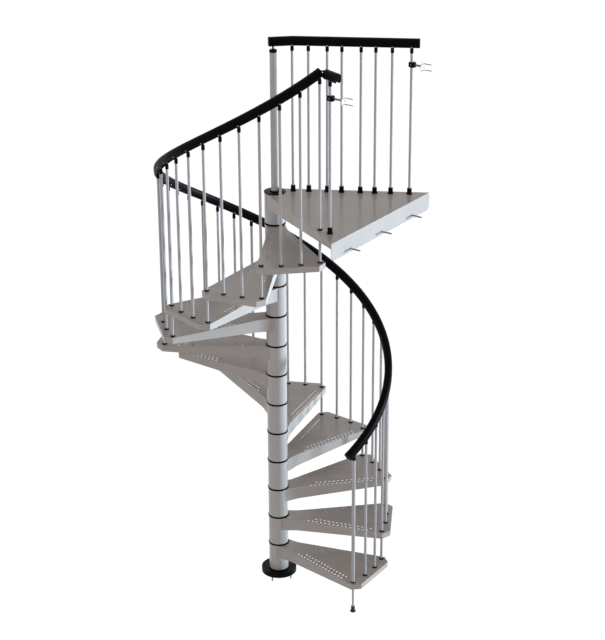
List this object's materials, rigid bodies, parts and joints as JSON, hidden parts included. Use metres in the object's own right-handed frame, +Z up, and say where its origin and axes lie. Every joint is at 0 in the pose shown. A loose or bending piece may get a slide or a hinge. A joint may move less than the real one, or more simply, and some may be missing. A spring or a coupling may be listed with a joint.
{
  "type": "spiral staircase",
  "caption": "Steel spiral staircase with perforated folded treads on a stacked centre column, a black helical handrail on slim balusters, and a corner landing with a level railing.",
  "frame": {"origin": "the column's axis at floor level, on the underside of the base plate", "axes": "+Z up the column, +X horizontally out of the landing's wall edge, +Y to the side of the landing's level railing"},
  "size_m": [1.7342, 1.6263, 3.9615],
  "materials": {
    "tread_coat": "smooth light grey powder coat, glossy",
    "column_coat": "smooth light grey powder coat on round tube, glossy",
    "baluster_coat": "light grey powder coat on slim tube, glossy",
    "galvanised_steel": "galvanised plate",
    "zinc_steel": "zinc plated",
    "black_plastic": "moulded black nylon, satin",
    "rail_vinyl": "extruded black vinyl, satin",
    "black_rubber": "moulded rubber",
    "white_coat": "white coated disc"
  },
  "bodies": {
    "root": {"base_plate": "galvanised_steel", "base_cover": "black_plastic", "floor_anchors": "zinc_steel", "center_rod": "zinc_steel", "hub_tubes": "column_coat", "spacer_rings": "black_plastic", "tread_01": "tread_coat", "tread_02": "tread_coat", "tread_03": "tread_coat", "tread_04": "tread_coat", "tread_05": "tread_coat", "tread_06": "tread_coat", "tread_07": "tread_coat", "tread_08": "tread_coat", "tread_09": "tread_coat", "tread_10": "tread_coat", "tread_11": "tread_coat", "tread_12": "tread_coat", "first_post": "baluster_coat", "first_post_foot": "black_rubber", "long_balusters": "baluster_coat", "middle_balusters": "baluster_coat", "short_balusters": "baluster_coat", "baluster_collars": "black_plastic", "baluster_caps": "black_plastic", "ball_pins": "zinc_steel", "handrail": "rail_vinyl", "handrail_joint": "rail_vinyl", "handrail_end": "rail_vinyl", "landing": "tread_coat", "landing_disc": "black_plastic", "newel_post": "column_coat", "newel_collar": "black_plastic", "newel_cap": "black_plastic", "landing_balusters": "baluster_coat", "landing_sockets": "black_plastic", "landing_caps": "black_plastic", "landing_handrail": "rail_vinyl", "landing_anchors": "zinc_steel", "wall_clamps": "black_plastic", "clamp_arms": "zinc_steel", "wall_plates": "white_coat", "wall_anchors": "zinc_steel"}
  },
  "joints": []
}
